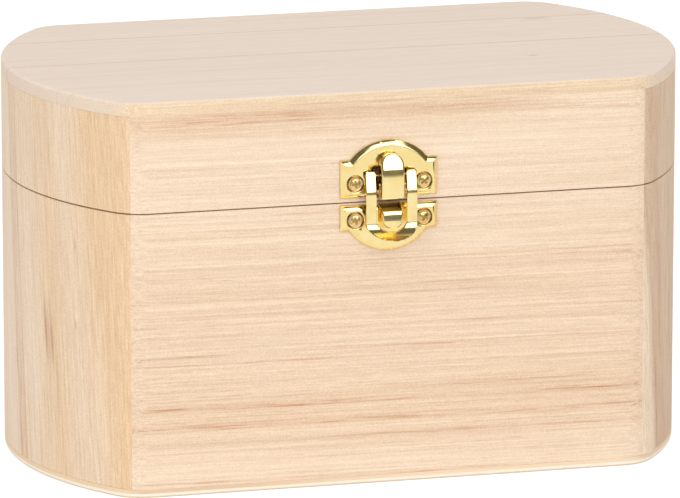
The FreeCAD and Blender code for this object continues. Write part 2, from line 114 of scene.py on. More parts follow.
EAR_INSIDE, EAR_FRONT, EAR_FOOT, EAR_TOP, EAR_SHEET = 3.55, 4.7, 1.7, 6.4, 0.4
LOOP_INSIDE, LOOP_OUTSIDE = 4.5, 7.65
LOOP_PIVOT = (3.0, 8.3)
LOOP_TOP, LOOP_KINK, LOOP_LIP, LOOP_FOOT, LOOP_INNER_FOOT = 9.4, 3.3, -7.68, -10.1, -8.0
LOOP_TOP_FRONT, LOOP_FRONT, LOOP_LIP_FRONT = 3.0, 4.3, 9.25
LOOP_BOW, LOOP_INNER_BOW = 4.1, 2.8
LOOP_PEG_RADIUS = 0.3
HOOK_HALF, HOOK_ROOT, HOOK_BROW, HOOK_TIP = 3.5, -0.2, -2.1, -7.7
HOOK_BROW_FRONT, HOOK_FRONT, HOOK_TIP_RADIUS = 4.95, 5.6, 2.8
HEAD_RADIUS, HEAD_RIM, HEAD_HEIGHT = 2.1, 0.5, 1.2
HEAD_RINGS = (1.42, 1.65, 1.85, HEAD_RADIUS - 0.06)
SLOT_REACH, SLOT_DEPTH, SLOT_TAPER = 1.15, 0.6, 0.8
PLATE_SKIN, LEVER_SKIN = 0.45, 0.4      # sheet as it shows at the rims
WINDOW_MARGIN = 2                       # loop's pivot to the top of the opening behind the lever
HOOK_SKIRT = 0.9                        # standoff of the hook's hidden back edge
EAR_ROUND, PEG_ROUND, LOOP_TOP_ROUND, LOOP_EDGE_ROUND, HOOK_EDGE_ROUND = 0.9, 0.15, 0.8, 0.25, 0.25


# Shading

def maths(operation, swapped=False):
    """Operator that adds a Math node on a wire and another wire or number."""
    def apply(self, other):
        pair = (other, self) if swapped else (self, other)
        return self.paint.node("Math", {"operation": operation}, dict(enumerate(pair)))
    return apply


class Wire:
    """An output socket. Arithmetic on wires adds Math nodes to their tree."""

    def __init__(self, paint, socket):
        self.paint = paint
        self.socket = socket

    __add__ = maths("ADD")
    __radd__ = maths("ADD", swapped=True)
    __sub__ = maths("SUBTRACT")
    __rsub__ = maths("SUBTRACT", swapped=True)
    __mul__ = maths("MULTIPLY")
    __rmul__ = maths("MULTIPLY", swapped=True)
    __truediv__ = maths("DIVIDE")
    __pow__ = maths("POWER")


class Paint:
    """A node tree in the making, with one method that adds any node."""

    def __init__(self, tree):
        self.tree = tree
        tree.nodes.clear()

    def node(self, kind, settings=(), inputs=(), output=0):
        made = self.tree.nodes.new("ShaderNode" + kind)
        for name, value in dict(settings).items():
            if name == "stops":
                self.set_stops(made.color_ramp, value)
            else:
                setattr(made, name, value)
        for name, value in dict(inputs).items():
            if isinstance(value, Wire):
                self.tree.links.new(value.socket, made.inputs[name])
            else:
                made.inputs[name].default_value = value
        return Wire(self, made.outputs[output]) if made.outputs else None

    @staticmethod
    def set_stops(ramp, stops):
        first, *middle, last = stops
        ramp.elements[0].position, ramp.elements[0].color = first
        ramp.elements[1].position, ramp.elements[1].color = last
        for place, colour in middle:
            ramp.elements.new(place).color = colour

    def one(self, operation, value, *others):
        """Math node with the named operation."""
        return self.node("Math", {"operation": operation}, dict(enumerate((value, *others))))

    def between(self, value, low, high):
        """Smooth step: 0 where the value is at or below low, 1 at or above high."""
        return self.node("MapRange", {"interpolation_type": "SMOOTHSTEP"},
                         {"Value": value, "From Min": low, "From Max": high})

    def mix(self, share, first, second, blend="MIX"):
        """Colour between two colours."""
        return self.node("Mix", {"data_type": "RGBA", "blend_type": blend, "clamp_factor": True},
                         {0: share, 6: first, 7: second}, output=2)

    def ramp(self, value, *stops):
        """Number that follows the value through (place, number) stops from 0 to 1."""
        greys = [(place, (tone, tone, tone, 1)) for place, tone in stops]
        return self.node("ValToRGB", {"stops": greys}, {0: value})

    def cloud(self, place, size, seed, detail=2.0):
        """Noise around 0.5 whose blots have the given size along the three axes."""
        spread = self.node("VectorMath", {"operation": "DIVIDE"}, {0: place, 1: size})
        return self.node("TexNoise", {"noise_dimensions": "4D"},
                         {"Vector": spread, "W": seed, "Scale": 1.0, "Detail": detail})

    def millimetres(self):
        """Place on the piece, in the box's frame."""
        place = self.node("TexCoord", output="Object")
        return self.node("VectorMath", {"operation": "SCALE"}, {0: place, "Scale": 1 / MM})

    def split(self, place):
        """The three parts of a place or direction, by the names of their axes."""
        parts = self.node("SeparateXYZ", inputs={0: place}).socket.node
        return dict(zip("xyz", (Wire(self, socket) for socket in parts.outputs)))

    def here(self):
        return self.split(self.millimetres())

    def facing(self):
        """Direction that the surface faces."""
        return self.split(self.node("TexCoord", output="Normal"))

    def mirror_ray(self):
        """1 for a ray that a mirroring or clear surface sends on, and 0 for others."""
        return self.one("MAXIMUM", self.node("LightPath", output="Is Glossy Ray"),
                        self.node("LightPath", output="Is Transmission Ray"))

    def surface(self, sockets):
        """Principled shader that ends the tree."""
        shader = self.node("BsdfPrincipled", inputs=sockets)
        self.node("OutputMaterial", inputs={"Surface": shader})

    def bump(self, height, depth):
        return self.node("Bump", inputs={"Height": height, "Distance": depth * MM, "Strength": 1.0})


def new_material(name):
    material = bpy.data.materials.new(name)
    material.use_nodes = True
    return material, Paint(material.node_tree)


def linear(red, green, blue):
    """Linear colour from the three numbers that a colour picker shows, 0 to 255."""
    def one(level):
        share = level / 255
        return share / 12.92 if share <= 0.04045 else ((share + 0.055) / 1.055) ** 2.4
    return (one(red), one(green), one(blue), 1.0)


# Wood: along the grain, across it and through the board

PORE = linear(172, 128, 96)
END_GRAIN = linear(226, 202, 174)
SHADED_FIBRE, LIT_FIBRE = (0.83, 0.77, 0.71, 1), (1.06, 1.08, 1.1, 1)
WHOLE_LENGTH = (-200, 200)
STREAK_RUN_OUT = 12

# Sizes of what makes up the figure
HAIR, DASH, SPECK, FIBRE = (80, 0.6, 0.6), (5.5, 0.42, 0.42), (0.5, 0.28, 0.28), (13, 0.4, 0.4)
DRIFT, RIPPLE, FADE = (210, 55, 55), (40, 6, 6), (70, 4, 4)
BROAD, PORE_PATCH = (150, 18, 18), (60, 9, 9)
DRIFT_REACH, RIPPLE_REACH, RAGGED_REACH = 3.5, 1.0, 0.6


def wood(name, axes, seed, pale, tan, streak, ring=6.2, lines=0.8, fine=1.0, sway=0.7, slant=0, tones=None,
         busy=None, streaks=(), smudges=(), rims=()):
    """Planed soft wood with growth lines, streaks, long fibres, short pores and specks.

    axes names the object's axes along, across and through the grain, which leans across by slant.
    tones gives how far the wood turns from pale to tan at a place, and busy how strong its grain is.
    streaks lists (place across, half width, strength, stretch along).
    smudges lists (place along, place across, half length, half width, strength).
    rims lists (share at a place, colour).
    """
    material, paint = new_material(name)
    here = paint.here()
    along, across, through = [here[axis] for axis in axes]
    across = across - along * slant
    strength_here = busy(paint, here) if busy else 1.0
    grain = paint.node("CombineXYZ", inputs={0: along, 1: across, 2: through})

    hair = paint.cloud(grain, HAIR, seed + 2)
    dash = paint.cloud(grain, DASH, seed + 5, detail=1)
    speck = paint.cloud(grain, SPECK, seed + 6, detail=0)
    fibre = paint.between(paint.cloud(grain, FIBRE, seed + 8, detail=1), 0.46, 0.68)
    dashed = paint.between(dash, 0.36, 0.64)

    drift = (paint.cloud(grain, DRIFT, seed) - 0.5) * DRIFT_REACH
    ripple = (paint.cloud(grain, RIPPLE, seed + 1) - 0.5) * RIPPLE_REACH
    line_place = across + drift + ripple + (dash - 0.5) * RAGGED_REACH

    step = (line_place + through * 0.7) / ring
    phase = paint.one("FRACT", step)
    number = paint.one("FLOOR", step)
    chance = paint.node("TexWhiteNoise", {"noise_dimensions": "1D"}, {"W": number + seed}, output="Value")
    fade = paint.between(paint.cloud(grain, FADE, seed + 3), 0.34, 0.64)
    thin = paint.between(phase, 0.7, 0.9) * (1 - paint.between(phase, 0.94, 1.0))
    late = (thin * (0.15 + 0.75 * fibre) + phase ** 3 * (1 - thin) * 0.25) * (0.2 + 0.8 * chance)
    late = late * (0.15 + 0.85 * fade)
    late = late * strength_here * lines

    for centre, half_width, strength, (start, end) in streaks:
        off = paint.one("ABSOLUTE", line_place - centre) / half_width
        mark = paint.between(1 - off, 0, 1) * (0.25 + 0.85 * fibre)
        begun = paint.between(along, start - STREAK_RUN_OUT, start + STREAK_RUN_OUT)
        ended = paint.between(along, end - STREAK_RUN_OUT, end + STREAK_RUN_OUT)
        late = late + mark * (begun * (1 - ended)) * (0.25 + 0.75 * fade) * strength
    late = late * (0.7 + 0.45 * dashed)

    for far, wide, half_length, half_width, strength in smudges:
        off = ((along - far) / half_length) ** 2 + ((line_place - wide) / half_width) ** 2
        off = paint.one("SQRT", off)
        late = late + paint.between(1 - off, 0, 1) * strength

    broad = (paint.cloud(grain, BROAD, seed + 4) - 0.5) * sway
    tone = broad + (tones(paint, here) if tones else 0.4)
    patches = paint.between(paint.cloud(grain, PORE_PATCH, seed + 7), 0.4, 0.62)
    pores = paint.between(dash, 0.68, 0.8) * patches

    colour = paint.mix(tone, pale, tan)
    for share, rim_colour in rims:
        colour = paint.mix(share(paint, here), colour, rim_colour)
    colour = paint.mix(late, colour, streak)
    grainy = 0.5 + ((hair - 0.5) * 1.7 + (dash - 0.5) * 0.9 + (speck - 0.5) * 1.0) * fine * strength_here
    tint = paint.mix(grainy, SHADED_FIBRE, LIT_FIBRE)
    colour = paint.mix(1.0, colour, tint, blend="MULTIPLY")
    colour = paint.mix(pores * 0.3 * fine, colour, PORE)

    end_face = paint.between(paint.one("ABSOLUTE", paint.facing()[axes[0]]), 0.6, 0.95)
    colour = paint.mix(end_face * 0.35, colour, END_GRAIN)

    height = hair * 0.4 + dash * 0.5 - pores - late * 0.35
    paint.surface({"Base Color": colour, "Roughness": 0.58 + 0.14 * hair, "Specular IOR Level": 0.32,
                   "Normal": paint.bump(height, 0.07)})
    return material


FRONT_PALE, FRONT_TAN, FRONT_STREAK = linear(249, 227, 202), linear(236, 206, 174), linear(205, 146, 109)
LEFT_PALE, LEFT_TAN, END_STREAK = linear(246, 226, 204), linear(239, 208, 170), linear(190, 148, 120)
RIGHT_PALE, RIGHT_TAN = linear(248, 229, 203), linear(219, 189, 160)
TOP_PALE, TOP_TAN, TOP_STREAK = linear(246, 231, 218), linear(237, 219, 202), linear(202, 168, 142)
PANEL_EDGE = linear(243, 218, 186)


def front_tones(paint, here):
    """Pale lid and lower edge, darker under the lid's panel, on the left, and in the base's lower third."""
    height = here["z"] / LID_TOP
    cream = paint.between(height, 0.89, 0.93) * paint.between(here["x"], 25, 60) * 0.45
    return paint.ramp(height, (0.0, 0.0), (0.06, 0.08), (0.11, 0.35), (0.2, 0.62), (0.28, 0.5), (0.36, 0.3),
                      (0.45, 0.5), (0.55, 0.42), (0.7, 0.16), (0.86, 0.12), (0.905, 0.32), (0.945, 0.65),
                      (0.97, 0.6), (1.0, 0.4)) - cream


def front_grain(paint, here):
    """Calm grain in the lid and the upper base, stronger under the lid's panel and in the lower third."""
    height = here["z"] / LID_TOP
    return paint.ramp(height, (0.0, 0.65), (0.08, 0.75), (0.15, 0.9), (0.3, 0.85), (0.45, 0.8), (0.6, 0.78),
                      (0.7, 0.72), (0.8, 0.75), (0.87, 0.6), (0.91, 0.7), (0.95, 0.9), (1.0, 0.8))


FRONT_SLANT = -0.01
FRONT_STREAKS = (
    (25.2, 1.3, 0.9, WHOLE_LENGTH), (19.4, 1.5, 1.05, WHOLE_LENGTH), (14.9, 1.1, 0.65, WHOLE_LENGTH),
    (44.0, 0.7, 0.5, (-80, 0)), (38.0, 0.8, 0.6, (-80, -20)), (30.5, 0.9, 0.6, (-80, -30)),
    (28.7, 1.0, 0.7, (-5, 60)), (67.0, 0.7, 0.4, WHOLE_LENGTH), (63.4, 0.6, 0.45, WHOLE_LENGTH),
    (57.0, 0.6, 0.45, WHOLE_LENGTH), (50.0, 0.7, 0.6, WHOLE_LENGTH), (41.0, 0.6, 0.4, WHOLE_LENGTH),
    (82.2, 1.3, 0.5, (-80, 10)), (110.2, 2.8, 0.65, (-74, -20)), (106.4, 1.8, 0.5, (-70, -10)),
    (110.8, 2.0, 0.5, (-20, 42)), (2.9, 0.5, 0.5, WHOLE_LENGTH),
)
BACK_STREAKS = (
    (34.0, 1.2, 0.4, WHOLE_LENGTH), (58.0, 0.8, 0.35, WHOLE_LENGTH), (97.0, 1.4, 0.4, WHOLE_LENGTH),
)


def board_finishes():
    front = wood("front_board_wood", "xzy", 3.0, FRONT_PALE, FRONT_TAN, FRONT_STREAK,
                 fine=1.15, slant=FRONT_SLANT, tones=front_tones, busy=front_grain, streaks=FRONT_STREAKS)
    back = wood("back_board_wood", "xzy", 41.0, FRONT_PALE, FRONT_TAN, FRONT_STREAK, streaks=BACK_STREAKS)
    return {"base_front_board": front, "lid_front_board": front,
            "base_back_board": back, "lid_back_board": back}


LEFT_SLANT, RIGHT_SLANT = 0.08, -0.09


def left_tones(paint, here):
    """Staves of the left end: golden beside the front board, cream further round."""
    place = (here["y"] - here["z"] * LEFT_SLANT - FRONT) / (BACK - FRONT)
    return paint.ramp(place, (0.0, 1.0), (0.035, 0.95), (0.06, 0.6), (0.1, 0.3), (0.15, 0.45), (0.19, 0.75),
                      (0.24, 0.6), (0.29, 0.35), (0.34, 0.45), (0.41, 0.5), (0.46, 0.05), (0.7, 0.5),
                      (1.0, 0.8))


def right_tones(paint, here):
    """Staves of the right end: cream low down beside the front board, browner further round."""
    place = (here["y"] - here["z"] * RIGHT_SLANT - FRONT) / (BACK - FRONT)
    return paint.ramp(place, (0.0, 0.0), (0.055, 0.1), (0.075, 0.85), (0.13, 0.95), (0.2, 0.75), (0.27, 0.7),
                      (0.31, 0.45), (0.5, 0.6), (1.0, 0.8))


LEFT_STREAKS = (
    (-15.6, 0.8, 1.0, WHOLE_LENGTH), (-12.2, 4.2, 0.9, WHOLE_LENGTH), (14.0, 0.9, 0.5, WHOLE_LENGTH),
)
LEFT_SMUDGES = (
    (45, -31.5, 15, 1.0, 0.6), (41, -34.5, 11, 0.9, 0.6), (43, -33.0, 16, 2.8, 0.35),
    (72, -47.2, 3.0, 0.5, 0.5), (48.6, -45.3, 2.6, 0.5, 0.5),
)
RIGHT_STREAKS = (
    (-50.2, 1.0, 0.9, WHOLE_LENGTH), (-45.0, 3.0, 0.4, WHOLE_LENGTH), (-36.0, 1.6, 0.5, WHOLE_LENGTH),
    (-10.0, 0.8, 0.4, WHOLE_LENGTH), (24.0, 1.0, 0.5, WHOLE_LENGTH),
)


def end_finishes():
    left = wood("left_end_wood", "zyx", 17.0, LEFT_PALE, LEFT_TAN, END_STREAK, ring=4.2, lines=0.4,
                sway=1.0, slant=LEFT_SLANT, tones=left_tones, streaks=LEFT_STREAKS, smudges=LEFT_SMUDGES)
    right = wood("right_end_wood", "zyx", 23.0, RIGHT_PALE, RIGHT_TAN, END_STREAK,
                 ring=4.6, lines=0.5, sway=0.9, slant=RIGHT_SLANT, tones=right_tones, streaks=RIGHT_STREAKS)
    return {"base_left_end": left, "lid_left_end": left,
            "base_right_end": right, "lid_right_end": right}


TOP_SMUDGES = {"lid_top_back_middle_strip": ((69.7, 32.0, 7, 1.8, 0.5),),
               "lid_top_front_middle_strip": ((53.4, -21.9, 2.2, 1.3, 0.6),)}
GLUE_LINE_STRENGTHS = (0.15, 0.6, 0.6)


def panel_rim(paint, here):
    """Front edge of the lid's panel, below its top face."""
    forward = paint.facing()["y"] * -1
    return (1 - paint.between(here["z"], LID_TOP - 0.2, LID_TOP)) * paint.between(forward, 0.3, 1.0)


def panel_grain(paint, here):
    """Calm grain on top of the lid's panel, stronger on its front edge."""
    return 1 + panel_rim(paint, here) * 1.2


def glue_lines(paint, here):
    """Thin dark lines where the strips of the lid's panel are glued together."""
    share = 0
    for strip, strength in zip(TOP_STRIPS, GLUE_LINE_STRENGTHS):
        off = paint.one("ABSOLUTE", here["y"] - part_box(strip)[1].y / MM)
        share = (1 - paint.between(off, 0.1, 0.45)) * strength + share
    return share


def top_finishes():
    """One finish for each strip of the lid's panel, as each comes from another board."""
    made = {}
    for number, strip in enumerate(TOP_STRIPS):
        made[strip] = wood(f"{strip}_wood", "xyz", 60.0 + 9 * number, TOP_PALE, TOP_TAN, TOP_STREAK,
                           ring=7.0, lines=0.3, fine=0.42, sway=0.6, busy=panel_grain,
                           smudges=TOP_SMUDGES.get(strip, ()),
                           rims=((panel_rim, PANEL_EDGE), (glue_lines, TOP_STREAK)))
    return made


VENEER_PALE, VENEER, VENEER_FIBRE = linear(254, 246, 231), linear(251, 238, 218), linear(236, 212, 182)
# The first is painted shade along the plywood's bottom edge; the second is its upper layer on the round ends
FLOOR_EDGE_SHADE, END_LAYER = linear(234, 212, 180), linear(237, 208, 172)
LEFT_LAYER, RIGHT_LAYER = linear(229, 195, 162), linear(243, 216, 184)
PLY_FACE, PLY_FACE_LINE = linear(250, 230, 202), linear(226, 192, 152)


def plywood():
    """Plywood with white and reddish layers on its edge, a tan band of painted shade along its bottom, and a
    wavy figure on its faces.
    """
    material, paint = new_material("bottom_plywood")
    place = paint.millimetres()
    x, y, z = paint.split(place).values()
    fibre = paint.cloud(place, (14, 0.5, 0.5), 5.0, detail=3)
    rings = paint.cloud(place, (160, 5, 5), 6.0)
    colour = paint.mix(rings, VENEER_PALE, VENEER)
    colour = paint.mix(paint.between(fibre, 0.45, 0.7) * 0.25, colour, VENEER_FIBRE)
    # Painted shade: a tan band along the bottom edge, where the plywood meets the floor
    low = 1 - paint.between(z, PLY_SHADE_TOP - 0.1, PLY_SHADE_TOP + 0.1)
    colour = paint.mix(low * 0.75, colour, FLOOR_EDGE_SHADE)
    round_end = paint.between(paint.one("ABSOLUTE", x), HALF_LENGTH - 3, HALF_LENGTH + 2)
    upper = paint.mix(round_end, paint.mix(paint.between(x, -55, 10), LEFT_LAYER, RIGHT_LAYER), END_LAYER)
    high = paint.between(z, PLY_HIGH - 0.1, PLY_HIGH + 0.1)
    colour = paint.mix(high * 0.9, colour, upper)
    wave = paint.one("FRACT", (y + (rings - 0.5) * 22) / 9)
    lines = paint.between(wave, 0.2, 0.95) * (1 - paint.between(wave, 0.95, 1.0))
    face = paint.mix(lines * 0.45 + (fibre - 0.5) * 0.9, PLY_FACE, PLY_FACE_LINE)
    flat = paint.between(paint.one("ABSOLUTE", paint.facing()["z"]), 0.6, 0.9)
    colour = paint.mix(flat, colour, face)
    paint.surface({"Base Color": colour, "Roughness": 0.62 + 0.1 * fibre, "Specular IOR Level": 0.3,
                   "Normal": paint.bump(fibre, 0.06)})
    return material


# Brass

# Colour of the painted shade in the brass's hollows and gaps
PAINTED_SHADE = linear(150, 104, 44)


def screw_distance(paint, here):
    """Distance from the axis of the nearest of the latch's four screws."""
    aside = paint.one("ABSOLUTE", here["x"] - LATCH_X) - SCREW_X
    middle = SAW_CUT + (LEVER_SCREW_RISE + HOOK_SCREW_RISE) / 2
    above = paint.one("ABSOLUTE", here["z"] - middle) - (LEVER_SCREW_RISE - HOOK_SCREW_RISE) / 2
    return paint.one("SQRT", aside ** 2 + above ** 2)


def latch_painted_shade(paint, here):
    """Painted shade in the dimples round the screw heads, and in the gaps beside the lever, between it and
    the loop.
    """
    dimple = 1 - paint.between(screw_distance(paint, here), SEAT_RADIUS - 0.15, SEAT_RADIUS + 0.05)
    aside = paint.one("ABSOLUTE", here["x"] - LATCH_X)
    beside = paint.between(aside, LEVER_HALF + 0.02, LEVER_HALF + 0.08)
    beside = beside * (1 - paint.between(aside, LOOP_INSIDE - 0.1, LOOP_INSIDE - 0.02))
    above = paint.between(here["z"], SAW_CUT + EAR_FOOT - 0.2, SAW_CUT + EAR_FOOT)
    above = above * (1 - paint.between(here["z"], SAW_CUT + LOOP_TOP, SAW_CUT + LOOP_TOP + 0.3))
    return dimple * 0.8 + beside * above * 0.85


def recess_painted_shade(paint, here):
    """Painted shade in the cross of a screw head."""
    deep = PLATE_RISE - SEAT_DEPTH + HEAD_HEIGHT - 0.3
    standoff = FRONT - here["y"]
    near = 1 - paint.between(screw_distance(paint, here), SLOT_REACH + 0.1, SLOT_REACH + 0.25)
    return near * (1 - paint.between(standoff, deep - 0.08, deep + 0.08)) * 0.8


def hinge_screw_distance(paint, here):
    """Distance from the axis of the nearest of the hinges' eight screws."""
    aside = paint.one("ABSOLUTE", paint.one("ABSOLUTE", here["x"]) - HINGE_X) - HINGE_SCREW_X
    above = paint.one("ABSOLUTE", here["z"] - SAW_CUT) - HINGE_SCREW_RISE
    return paint.one("SQRT", aside ** 2 + above ** 2)


def countersink_painted_shade(paint, here):
    """Painted shade round the sunk screw heads of the hinges and beside the knuckles."""
    off = paint.one("ABSOLUTE", hinge_screw_distance(paint, here) - HINGE_HEAD_RADIUS)
    beside = paint.one("ABSOLUTE", paint.one("ABSOLUTE", here["z"] - SAW_CUT) - KNUCKLE_RADIUS - 0.2)
    low = 1 - paint.between(here["y"], BACK + HINGE_LEAF, BACK + HINGE_LEAF + 0.2)
    ring = 1 - paint.between(off, 0.1, 0.35)
    return ring * 0.8 + (1 - paint.between(beside, 0.1, 0.6)) * low * 0.5


def sunk_recess_painted_shade(paint, here):
    """Painted shade round a hinge screw's head and in its cross."""
    away = hinge_screw_distance(paint, here)
    rim = paint.between(away, HINGE_HEAD_RADIUS - 0.3, HINGE_HEAD_RADIUS - 0.05)
    deep = 1 - paint.between(here["y"], BACK + HINGE_LEAF - 0.15, BACK + HINGE_LEAF - 0.05)
    return rim * 0.8 + deep * (1 - rim) * 0.9


def brass(name, colour, stain, roughness, painted_shade):
    """Bright plating with a faint ripple, cloudy polish, a little stain, and painted shade in its hollows and
    gaps.
    """
    material, paint = new_material(name)
    place = paint.millimetres()
    polish = paint.cloud(place, (3.0, 3.0, 3.0), 2.0, detail=3)
    spots = paint.between(paint.cloud(place, (0.8, 0.8, 0.8), 8.0, detail=2), 0.62, 0.78)
    ripple = paint.cloud(place, (2.2, 2.2, 2.2), 4.0, detail=1)
    cast = paint.cloud(place, (11, 11, 11), 6.0, detail=1)
    stained = paint.between(polish, 0.35, 0.75) * 0.3 + spots * 0.2 + paint.between(cast, 0.4, 0.65) * 0.4
    tint = paint.mix(stained, colour, stain)
    # Painted shade: the darker colour is mixed in where the mask says shade falls
    tint = paint.mix(painted_shade(paint, paint.split(place)), tint, PAINTED_SHADE)
    paint.surface({"Base Color": tint, "Metallic": 1.0, "Roughness": roughness + 0.08 * polish + 0.1 * spots,
                   "Normal": paint.bump(ripple, 0.012)})
    return material


def brass_finishes():
    latch = brass("latch_brass", linear(249, 229, 166), linear(243, 211, 132), 0.1, latch_painted_shade)
    hinge = brass("hinge_brass", linear(240, 212, 146), linear(214, 180, 108), 0.2, countersink_painted_shade)
    sunk = brass("hinge_screw_brass", linear(246, 224, 168), linear(222, 188, 118), 0.16, sunk_recess_painted_shade)
    screw = brass("screw_brass", linear(240, 214, 152), linear(214, 176, 106), 0.18, recess_painted_shade)
    return latch, hinge, screw, sunk


# Meshes

TOUCHING = 1e-7


def verts_of(geom):
    return [part for part in geom if isinstance(part, bmesh.types.BMVert)]


def edges_of(geom):
    return [part for part in geom if isinstance(part, bmesh.types.BMEdge)]


def faces_of(geom):
    return [part for part in geom if isinstance(part, bmesh.types.BMFace)]


def all_of(bm):
    return bm.verts[:] + bm.edges[:] + bm.faces[:]


def new_object(name, data):
    made = bpy.data.objects.new(name, data)
    bpy.context.scene.collection.objects.link(made)
    return made


def object_from(bm, name, material):
    mesh = bpy.data.meshes.new(name)
    bm.to_mesh(mesh)
    bm.free()
    mesh.materials.append(material)
    return new_object(name, mesh)


def finished(bm, name, node, material, smooth_angle=40):
    """Turns a bmesh into a piece that replaces a node and rides where the node rides."""
    bmesh.ops.recalc_face_normals(bm, faces=bm.faces)
    piece = object_from(bm, name, material)
    piece.data.shade_smooth()
    piece.data.set_sharp_from_angle(angle=math.radians(smooth_angle))
    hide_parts(node)
    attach(piece, frame["nodes"][node]["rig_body"])
    return piece


def eased_copy(node, name, material, ease):
    """Copy of a node with its sharp edges rubbed round, apart from upright ones, which are glued flush.

    Its flat faces keep their own shading, so that the curves beside them cast no shade on them.
    """
    bm = bmesh.new()
    bm.from_mesh(frame["nodes"][node].data)
    bmesh.ops.remove_doubles(bm, verts=bm.verts, dist=1e-6)
    bmesh.ops.dissolve_limit(bm, angle_limit=math.radians(0.4), verts=bm.verts, edges=bm.edges)
    sharp = [edge for edge in bm.edges if edge.is_manifold and edge.calc_face_angle() > EASED_ANGLE
             and abs(edge.verts[0].co.z - edge.verts[1].co.z) < 0.5 * edge.calc_length()]
    bmesh.ops.bevel(bm, geom=sharp, offset=ease * MM, affect="EDGES", segments=2, profile=0.5,
                    material=-1, clamp_overlap=True)
    piece = finished(bm, name, node, material, smooth_angle=20)
    for face in piece.data.polygons:
        face.use_smooth = max(abs(face.normal.y), abs(face.normal.z)) < FLAT_FACE


def latch_point(x, standoff, rise):
    return Vector((LATCH_X + x, FRONT - standoff, SAW_CUT + rise)) * MM


def corners(bm, places, standoff):
    """Vertices at (x, rise) places on the front, joined one after the other."""
    made = [bm.verts.new(latch_point(x, standoff, rise)) for x, rise in places]
    for pair in zip(made, made[1:]):
        bm.edges.new(pair)
    return made


def arc(bm, start, crown, steps):
    """Swings a vertex to its mirror place across the latch's middle, over a crown at the given rise."""
    half = start.co.x / MM - LATCH_X
    lift = crown - (start.co.z / MM - SAW_CUT)
    radius = (half ** 2 + lift ** 2) / (2 * lift)
    centre = latch_point(0, FRONT - start.co.y / MM, crown - radius)
    angle = 2 * math.atan2(abs(half), abs(radius) - abs(lift))
    axis = (0, -math.copysign(1, lift * half), 0)
    made = bmesh.ops.spin(bm, geom=[start], cent=centre, axis=axis, angle=angle, steps=steps)
    return verts_of(made["geom_last"])[0]


def pull(verts, standoff):
    """Moves vertices straight out or in to one standoff."""
    for vert in verts:
        vert.co.y = (FRONT - standoff) * MM


def raised(bm, face, steps):
    """Lifts a face off the front through (inset, standoff) steps, which leaves walls and a rolled rim."""
    face.normal_update()
    if face.normal.y > 0:
        face.normal_flip()
    made = bmesh.ops.extrude_face_region(bm, geom=[face])["geom"]
    bmesh.ops.delete(bm, geom=[face], context="FACES_ONLY")
    top = faces_of(made)[0]
    pull(top.verts, steps[0][1])
    for (inset, standoff), (next_inset, next_standoff) in zip(steps, steps[1:]):
        bmesh.ops.inset_region(bm, faces=[top], thickness=(next_inset - inset) * MM,
                               depth=(next_standoff - standoff) * MM, use_even_offset=True)
    return top


def cut_away(bm, planes):
    """Cuts out what lies inside all the (point, outward direction) planes, and returns the hole's edges."""
    inside = list(bm.faces)
    for point, way in planes:
        geom = set(inside)
        for face in inside:
            geom.update(face.edges)
            geom.update(face.verts)
        made = bmesh.ops.bisect_plane(bm, geom=list(geom), dist=TOUCHING, plane_co=point, plane_no=way)
        inside = [face for face in faces_of(made["geom"])
                  if (face.calc_center_median() - point).dot(way) < 0]
    chosen = set(inside)
    border = {edge for face in inside for edge in face.edges if not chosen.issuperset(edge.link_faces)}
    bmesh.ops.delete(bm, geom=inside, context="FACES")
    return list(border)


def sink(bm, edges, x, rise, radius, standoff):
    """Carries a ring of edges on to another radius, and inwards to a standoff."""
    made = bmesh.ops.extrude_edge_only(bm, edges=edges)["geom"]
    centre = latch_point(x, standoff, rise)
    moved = set(verts_of(made))
    for vert in moved:
        away = Vector((vert.co.x - centre.x, 0, vert.co.z - centre.z)).normalized() * radius * MM
        vert.co = Vector((centre.x + away.x, max(vert.co.y, centre.y), centre.z + away.z))
    return [edge for edge in edges_of(made) if moved.issuperset(edge.verts)]


RIM_STEPS = ((0.0, RIM_EDGE), (0.06, 0.58), (0.2, 0.8), (1.05, 1.39), (1.2, 1.48), (1.35, 1.55),
             (1.55, PLATE_RISE), (1.7, PLATE_RISE))
SEAT = PLATE_RISE - SEAT_DEPTH
SEAT_STEPS = ((SEAT_RADIUS, PLATE_RISE - 0.04), (SEAT_RADIUS - 0.1, PLATE_RISE - 0.16),
              (SEAT_RADIUS - 0.16, SEAT + 0.08), (SEAT_RADIUS - 0.3, SEAT), (SEAT_HOLE, SEAT), (SEAT_HOLE, 0))
SEAT_SIDES = 32


def pressed_plate(bm, edge, ledge, crown, screw_rise):
    """Dished plate: straight edge, ledges, arch, rolled rim, and a dimple with a hole for each screw."""
    arch = LATCH_HALF - LEDGE
    turns = [math.tau * side / SEAT_SIDES for side in range(SEAT_SIDES)]
    ways = [Vector((math.cos(turn), 0, math.sin(turn))) for turn in turns]
    near = corners(bm, [(-LATCH_HALF, edge), (LATCH_HALF, edge), (LATCH_HALF, ledge), (arch, ledge)], 0)
    far = arc(bm, near[-1], crown, 40)
    last = corners(bm, [(-LATCH_HALF, ledge)], 0)[0]
    bm.edges.new((far, last))
    bm.edges.new((last, near[0]))
    face = bmesh.ops.contextual_create(bm, geom=bm.edges[:])["faces"][0]
    raised(bm, face, RIM_STEPS)
    for x in (-SCREW_X, SCREW_X):
        middle = latch_point(x, 0, screw_rise)
        ring = cut_away(bm, [(middle + way * (SEAT_RADIUS + 0.08) * MM, way) for way in ways])
        for radius, standoff in SEAT_STEPS:
            ring = sink(bm, ring, x, screw_rise, radius, standoff)


def thickened(piece, thickness):
    """Gives a pressed skin the thickness of its sheet, inwards."""
    wall = piece.modifiers.new("sheet", "SOLIDIFY")
    wall.thickness = thickness * MM
    wall.offset = -1
    return piece


